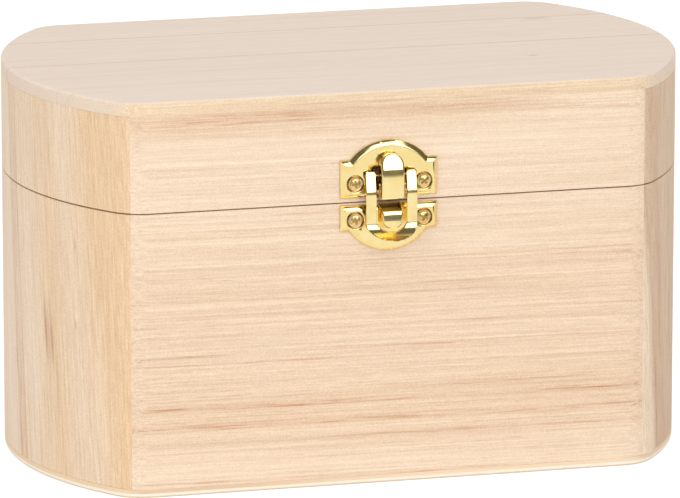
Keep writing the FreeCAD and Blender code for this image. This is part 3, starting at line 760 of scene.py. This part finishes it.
def lever_plate(material):
    bm = bmesh.new()
    pressed_plate(bm, LEVER_PLATE_EDGE, LEVER_PLATE_LEDGE, LEVER_PLATE_CROWN, LEVER_SCREW_RISE)
    cut_away(bm, [(latch_point(EAR_INSIDE, 0, 0), Vector((1, 0, 0))),
                  (latch_point(-EAR_INSIDE, 0, 0), Vector((-1, 0, 0))),
                  (latch_point(0, 0, LOOP_PIVOT[1] + WINDOW_MARGIN), Vector((0, 0, 1)))])
    thickened(finished(bm, "latch_lever_plate_pressing", "latch_lever_plate", material), PLATE_SKIN)


def lever_ears(material):
    """Lugs beside the lever, round about its pin."""
    bm = bmesh.new()
    root = PLATE_RISE - SHEET
    standoff, rise = (EAR_FRONT + root) / 2, (EAR_TOP + EAR_FOOT) / 2
    size = Matrix.Diagonal((EAR_SHEET * MM, (EAR_FRONT - root) * MM, (EAR_TOP - EAR_FOOT) * MM, 1))
    for side in (-1, 1):
        place = Matrix.Translation(latch_point(side * (EAR_INSIDE + EAR_SHEET / 2), standoff, rise))
        made = bmesh.ops.create_cube(bm, size=1, matrix=place @ size)["verts"]
        front = min(vert.co.y for vert in made)
        tips = [edge for edge in {edge for vert in made for edge in vert.link_edges}
                if all(vert.co.y < front + 1e-6 for vert in edge.verts)
                and abs(edge.verts[0].co.x - edge.verts[1].co.x) > 1e-6]
        bmesh.ops.bevel(bm, geom=tips, offset=EAR_ROUND * MM, affect="EDGES", segments=8, profile=0.5,
                        material=-1)
    finished(bm, "latch_lever_ears", "latch_lever_plate", material)


def bend(bm, profile, back=None):
    """Cuts the mesh across at the rises of a profile of (rise, standoff) points, and bends its front to them.

    With a back standoff, walls that reach back to it are bent less the nearer they come to it.
    """
    for rise, _ in profile[1:-1]:
        bmesh.ops.bisect_plane(bm, geom=all_of(bm), plane_co=latch_point(0, 0, rise), plane_no=(0, 0, 1),
                               dist=TOUCHING)
    flat = max(standoff for _, standoff in profile)
    for vert in bm.verts:
        rise = vert.co.z / MM - SAW_CUT
        share = 1 if back is None else (FRONT - vert.co.y / MM - back) / (flat - back)
        for (low, low_out), (high, high_out) in zip(profile, profile[1:]):
            if low - 1e-4 <= rise <= high + 1e-4:
                drop = flat - low_out - (rise - low) / (high - low) * (high_out - low_out)
        vert.co.y += drop * share * MM


def rounded_profile(points, reaches, steps=5):
    """Profile of (rise, standoff) points whose inner corners are curves, each with its reach back and on."""
    made = [points[0]]
    for before, corner, after, (back, on) in zip(points, points[1:], points[2:], reaches):
        before, corner, after = Vector(before), Vector(corner), Vector(after)
        start = corner + (before - corner).normalized() * back
        end = corner + (after - corner).normalized() * on
        for k in range(steps + 1):
            t = k / steps
            made.append(tuple(start * (1 - t) ** 2 + corner * 2 * t * (1 - t) + end * t ** 2))
    made.append(points[-1])
    return made


LEVER_STEPS = ((0.0, LEVER_FRONT - 0.7), (0.07, LEVER_FRONT - 0.38), (0.2, LEVER_FRONT - 0.17),
               (0.4, LEVER_FRONT - 0.05), (0.65, LEVER_FRONT))
LEVER_PROFILE = ((LEVER_FOOT, LEVER_FRONT), (6.9, LEVER_FRONT), (8.1, LEVER_FRONT - 0.025),
                 (8.9, LEVER_FRONT - 0.07), (LEVER_BEND, LEVER_FRONT - 0.22), (LEVER_TOP, LEVER_TIP_FRONT))


def lever(material):
    """Tongue with a round end and a bend, drawn to a channel that is open behind."""
    bm = bmesh.new()
    shoulder = LEVER_TOP - LEVER_HALF
    places = [(-LEVER_HALF, LEVER_FOOT), (LEVER_HALF, LEVER_FOOT), (LEVER_HALF, shoulder)]
    near = corners(bm, places, LEVER_BACK)
    far = arc(bm, near[-1], LEVER_TOP, 28)
    bm.edges.new((far, near[0]))
    face = bmesh.ops.contextual_create(bm, geom=bm.edges[:])["faces"][0]
    raised(bm, face, LEVER_STEPS)
    bend(bm, rounded_profile(LEVER_PROFILE, ((0.25, 0.25),) * 4, steps=3), back=LEVER_BACK)
    thickened(finished(bm, "latch_lever_tongue", "latch_lever", material), LEVER_SKIN)


def rod(bm, pivot, radius, x_from, x_to):
    """Round bar across the latch with softened ends."""
    turn = Matrix.Rotation(math.radians(90), 4, "Y")
    place = Matrix.Translation(latch_point((x_from + x_to) / 2, *pivot)) @ turn
    made = bmesh.ops.create_cone(bm, cap_ends=True, segments=24, radius1=radius * MM, radius2=radius * MM,
                                 depth=abs(x_to - x_from) * MM, matrix=place)["verts"]
    rims = {edge for vert in made for edge in vert.link_edges if edge.calc_face_angle(0) > 1}
    bmesh.ops.bevel(bm, geom=list(rims), offset=PEG_ROUND * MM, affect="EDGES", segments=2, profile=0.5,
                    material=-1)


LOOP_PROFILE = ((LOOP_FOOT, LOOP_LIP_FRONT), (LOOP_LIP, LOOP_FRONT), (LOOP_KINK, LOOP_FRONT),
                (LOOP_TOP, LOOP_TOP_FRONT))
LOOP_BENDS = ((5.4, 2.04), (0.85, 0.85))    # reach of its bends before and after their corners


def loop(material):
    """Flat strip bent to a long U that hangs from the lever, with a lip turned out at its foot."""
    bm = bmesh.new()
    outside = (LOOP_OUTSIDE, LOOP_FOOT, LOOP_BOW)
    inside = (LOOP_INSIDE, LOOP_INNER_FOOT, LOOP_INNER_BOW)
    for half, foot, bow in (outside, inside):
        start = len(bm.verts)
        side = foot + bow
        near = corners(bm, [(half, LOOP_TOP), (half, side)], LOOP_LIP_FRONT)
        far = arc(bm, near[-1], side - half, 40)
        bm.edges.new((far, corners(bm, [(-half, LOOP_TOP)], LOOP_LIP_FRONT)[0]))
        bm.verts.ensure_lookup_table()
        low = [vert for vert in bm.verts[start:] if vert.co.z < (SAW_CUT + side) * MM]
        level = Matrix.Translation(-latch_point(0, 0, side))
        bmesh.ops.scale(bm, verts=low, vec=(1, 1, bow / half), space=level)
    bmesh.ops.bridge_loops(bm, edges=bm.edges[:])
    tops = [vert for vert in bm.verts if vert.co.z > (SAW_CUT + LOOP_TOP - 0.1) * MM]
    bmesh.ops.bevel(bm, geom=tops, offset=LOOP_TOP_ROUND * MM, affect="VERTICES", segments=4, profile=0.5,
                    material=-1)
    bend(bm, rounded_profile(LOOP_PROFILE, LOOP_BENDS, steps=14))
    bmesh.ops.recalc_face_normals(bm, faces=bm.faces)
    border = [edge for edge in bm.edges if edge.is_boundary]
    made = bmesh.ops.extrude_face_region(bm, geom=bm.faces[:])["geom"]
    bmesh.ops.translate(bm, verts=verts_of(made), vec=(0, SHEET * MM, 0))
    bmesh.ops.bevel(bm, geom=border, offset=LOOP_EDGE_ROUND * MM, affect="EDGES", segments=4, profile=0.5,
                    material=-1)
    bmesh.ops.recalc_face_normals(bm, faces=bm.faces)
    for side in (-1, 1):
        inner, outer = LEVER_HALF - SHEET - PEG_ROUND, LOOP_INSIDE + PEG_ROUND
        rod(bm, LOOP_PIVOT, LOOP_PEG_RADIUS, side * inner, side * outer)
    finished(bm, "latch_loop_strip", "latch_loop", material)


HOOK_STEPS = ((0.0, 2.0), (0.45, 4.5), (0.58, 5.1), (0.75, 5.45), (1.0, HOOK_FRONT))
HOOK_PROFILE = ((HOOK_SKIRT, HOOK_ROOT), (HOOK_BROW_FRONT, HOOK_BROW), (5.36, -3.05), (5.57, -4.8),
                (HOOK_FRONT, -6.2))


def hook(material):
    """Nose pressed out of the lower plate: sloping top, brow, flat front and round tip."""
    bm = bmesh.new()
    spare = HOOK_ROOT + 2       # cut off again by the hook's sloping top
    places = [(-HOOK_HALF, HOOK_TIP), (HOOK_HALF, HOOK_TIP), (HOOK_HALF, spare), (-HOOK_HALF, spare)]
    four = corners(bm, places, HOOK_SKIRT)
    bm.edges.new((four[-1], four[0]))
    bmesh.ops.contextual_create(bm, geom=bm.edges[:])
    bmesh.ops.bevel(bm, geom=four[:2], offset=HOOK_TIP_RADIUS * MM, affect="VERTICES", segments=9,
                    profile=0.5, material=-1)
    raised(bm, bm.faces[:][0], HOOK_STEPS)
    for top, low in zip(HOOK_PROFILE, HOOK_PROFILE[1:]):
        slope = Vector((0, -(low[0] - top[0]), low[1] - top[1]))
        way = Vector((0, slope.z, -slope.y)).normalized()
        made = bmesh.ops.bisect_plane(bm, geom=all_of(bm), plane_co=latch_point(0, *top), plane_no=way,
                                      dist=TOUCHING, clear_outer=True)
        cut = edges_of(made["geom_cut"])
        bmesh.ops.contextual_create(bm, geom=cut)
    brow = [edge for edge in bm.edges if edge.is_manifold and edge.calc_face_angle() > math.radians(30)
            and min(vert.co.y for vert in edge.verts) < (FRONT - 1.5) * MM]
    bmesh.ops.bevel(bm, geom=brow, offset=HOOK_EDGE_ROUND * MM, affect="EDGES", segments=3, profile=0.5,
                    material=-1)
    finished(bm, "latch_hook_nose", "latch_hook_plate", material, smooth_angle=12)


def hook_plate(material):
    bm = bmesh.new()
    pressed_plate(bm, HOOK_PLATE_EDGE, HOOK_PLATE_LEDGE, HOOK_PLATE_CROWN, HOOK_SCREW_RISE)
    thickened(finished(bm, "latch_hook_plate_pressing", "latch_hook_plate", material), PLATE_SKIN)


def ring_round(bm, x, rise, standoff, radius, steps=40):
    """Ring of edges round a screw's middle."""
    place = Matrix.Translation(latch_point(x, standoff, rise)) @ Matrix.Rotation(math.radians(90), 4, "X")
    made = bmesh.ops.create_circle(bm, cap_ends=False, segments=steps, radius=radius * MM, matrix=place)
    return list({edge for vert in made["verts"] for edge in vert.link_edges})


def screw_head(bm, x, rise, seat, turn):
    """Domed head with a cross recess."""
    start = len(bm.verts)
    dome = HEAD_HEIGHT - HEAD_RIM
    ball = (HEAD_RADIUS ** 2 + dome ** 2) / (2 * dome)
    centre = latch_point(x, seat + HEAD_HEIGHT, rise)
    facing = Matrix.Rotation(math.radians(90), 4, "X") @ Matrix.Rotation(math.radians(turn), 4, "Z")
    grid = bmesh.ops.create_grid(bm, x_segments=3, y_segments=3, size=SLOT_REACH * MM,
                                 matrix=Matrix.Translation(centre) @ facing)["verts"]
    squares = {face for vert in grid for face in vert.link_faces}
    off_cross = [face for face in squares
                 if (face.calc_center_median() - centre).length > SLOT_REACH * 0.8 * MM]
    bmesh.ops.delete(bm, geom=off_cross, context="FACES")
    floor_verts = [vert for vert in grid if vert.is_valid]
    rim = list({edge for vert in floor_verts for edge in vert.link_edges if edge.is_boundary})
    made = bmesh.ops.extrude_edge_only(bm, edges=rim)["geom"]
    moved = set(verts_of(made))
    rim = [edge for edge in edges_of(made) if moved.issuperset(edge.verts)]
    rings = [ring_round(bm, x, rise, seat + HEAD_HEIGHT, radius) for radius in HEAD_RINGS]
    bmesh.ops.triangle_fill(bm, edges=rim + rings[0], use_beauty=True, normal=(0, -1, 0))
    for inner, outer in zip(rings, rings[1:]):
        bmesh.ops.bridge_loops(bm, edges=inner + outer)
    bm.verts.ensure_lookup_table()
    for vert in bm.verts[start:]:
        off = math.hypot(vert.co.x - centre.x, vert.co.z - centre.z) / MM
        vert.co.y += (ball - math.sqrt(ball ** 2 - off ** 2)) * MM
    pull(floor_verts, seat + HEAD_HEIGHT - SLOT_DEPTH)
    bmesh.ops.scale(bm, verts=floor_verts, vec=(SLOT_TAPER, 1, SLOT_TAPER), space=Matrix.Translation(-centre))
    edge = sink(bm, rings[-1], x, rise, HEAD_RADIUS, seat + HEAD_RIM - 0.1)
    sink(bm, edge, x, rise, HEAD_RADIUS, seat)


def latch_screws(name, node, rise, turns, material):
    bm = bmesh.new()
    for x, turn in zip((-SCREW_X, SCREW_X), turns):
        screw_head(bm, x, rise, SEAT, turn)
    finished(bm, name, node, material)


# Build the object

def build_wood():
    finishes = {**board_finishes(), **end_finishes(), **top_finishes(), "base_bottom_panel": plywood()}
    for node, material in finishes.items():
        ease = STRIP_EASE if node in TOP_STRIPS else BOARD_EASE
        eased_copy(node, f"{node}_planed", material, ease)


def build_metal():
    latch, hinge, screw, sunk = brass_finishes()
    for pressing in (lever_plate, hook_plate, lever_ears, hook, lever, loop):
        pressing(latch)
    latch_screws("latch_lever_plate_screw_heads", "latch_lever_plate_screws", LEVER_SCREW_RISE,
                 LEVER_SCREW_TURNS, screw)
    latch_screws("latch_hook_plate_screw_heads", "latch_hook_plate_screws", HOOK_SCREW_RISE,
                 HOOK_SCREW_TURNS, screw)
    for node, piece in frame["nodes"].items():
        if node.startswith("hinge_") or node == "latch_lever_pin":
            piece.material_slots[0].material = sunk if "screw" in node else hinge


# Studio, in metres

FLOOR_RADIUS = 0.8
FLOOR_GREY = 0.88
AMBIENT = 0.7


def area_lamp(name, place, aim, size, brightness, glossy=True):
    """Flat lamp whose face has the given brightness, where 1 is white."""
    data = bpy.data.lights.new(name, "AREA")
    data.shape = "RECTANGLE"
    data.size, data.size_y = size
    data.energy = brightness * math.pi * size[0] * size[1]
    lamp = new_object(name, data)
    lamp.location = place
    lamp.rotation_euler = (Vector(aim) - Vector(place)).to_track_quat("-Z", "Y").to_euler()
    lamp.visible_camera = False
    lamp.visible_glossy = glossy


def studio():
    """White backdrop for the camera; metal also sees a softbox above and a dim room beside it."""
    world = bpy.data.worlds.new("studio")
    bpy.context.scene.world = world
    world.use_nodes = True
    paint = Paint(world.node_tree)
    x, y, z = paint.split(paint.node("TexCoord", output="Generated")).values()
    backdrop = paint.between(y, 0.1, 0.5)
    aside = paint.one("ABSOLUTE", x - 0.18)
    softbox = paint.between(z, 0.06, 0.12) * (1 - paint.between(z, 0.84, 0.9))
    softbox = softbox * (1 - paint.between(aside, 0.26, 0.44))
    seen = 0.14 + backdrop * 0.86 + softbox * (1 - backdrop) * 3
    level = paint.node("Mix", {"data_type": "FLOAT"}, {0: paint.mirror_ray(), 2: AMBIENT, 3: seen})
    level = paint.node("Mix", {"data_type": "FLOAT"},
                       {0: paint.node("LightPath", output="Is Camera Ray"), 2: level, 3: 1.0})
    shader = paint.node("Background", inputs={"Color": (1, 1, 1, 1), "Strength": level})
    paint.node("OutputWorld", inputs={"Surface": shader})

    area_lamp("front_softbox", (0.1, -1.5, 1.0), (0, 0, 0.06), (1.2, 1.2), 1.8, glossy=False)
    area_lamp("left_key", (-1.5, -1.1, 0.9), (0, 0, 0.06), (0.9, 0.9), 2.75, glossy=False)
    area_lamp("top_softbox", (0, 0.2, 1.8), (0, 0, 0.1), (1.0, 1.0), 0.6, glossy=False)


def floor():
    """Pale floor that keeps the box's shadow; it glows a little for the camera and for metal."""
    material, paint = new_material("floor_paper")
    seen = paint.node("LightPath", output="Is Camera Ray") * 0.4 + paint.mirror_ray() * 0.14
    matt = paint.node("BsdfDiffuse", inputs={"Color": (FLOOR_GREY, FLOOR_GREY, FLOOR_GREY, 1)})
    glow = paint.node("Emission", inputs={"Color": (1, 1, 1, 1), "Strength": seen})
    both = paint.node("AddShader", inputs={0: matt, 1: glow})
    paint.node("OutputMaterial", inputs={"Surface": both})
    bm = bmesh.new()
    bmesh.ops.create_circle(bm, cap_ends=True, segments=64, radius=FLOOR_RADIUS)
    object_from(bm, "floor", material)


def camera():
    data = bpy.data.cameras.new("camera")
    data.sensor_width = SENSOR_WIDTH
    data.lens = SENSOR_WIDTH * FOCAL_PIXELS / PHOTO_WIDTH
    data.shift_x = (PHOTO_WIDTH / 2 - AIM_PIXEL[0]) / PHOTO_WIDTH
    data.shift_y = (AIM_PIXEL[1] - PHOTO_HEIGHT / 2) / PHOTO_WIDTH
    data.clip_end = 100
    made = new_object("camera", data)
    azimuth, elevation = math.radians(CAMERA_AZIMUTH), math.radians(CAMERA_ELEVATION)
    back = Vector((math.sin(azimuth) * math.cos(elevation), -math.cos(azimuth) * math.cos(elevation),
                   math.sin(elevation)))
    made.location = (Vector((0, 0, AIM_HEIGHT)) + back * CAMERA_DISTANCE) * MM
    made.rotation_euler = (-back).to_track_quat("-Z", "Y").to_euler()
    bpy.context.scene.camera = made


build_wood()
build_metal()
floor()
studio()
camera()
bpy.context.scene.view_settings.view_transform = "Standard"
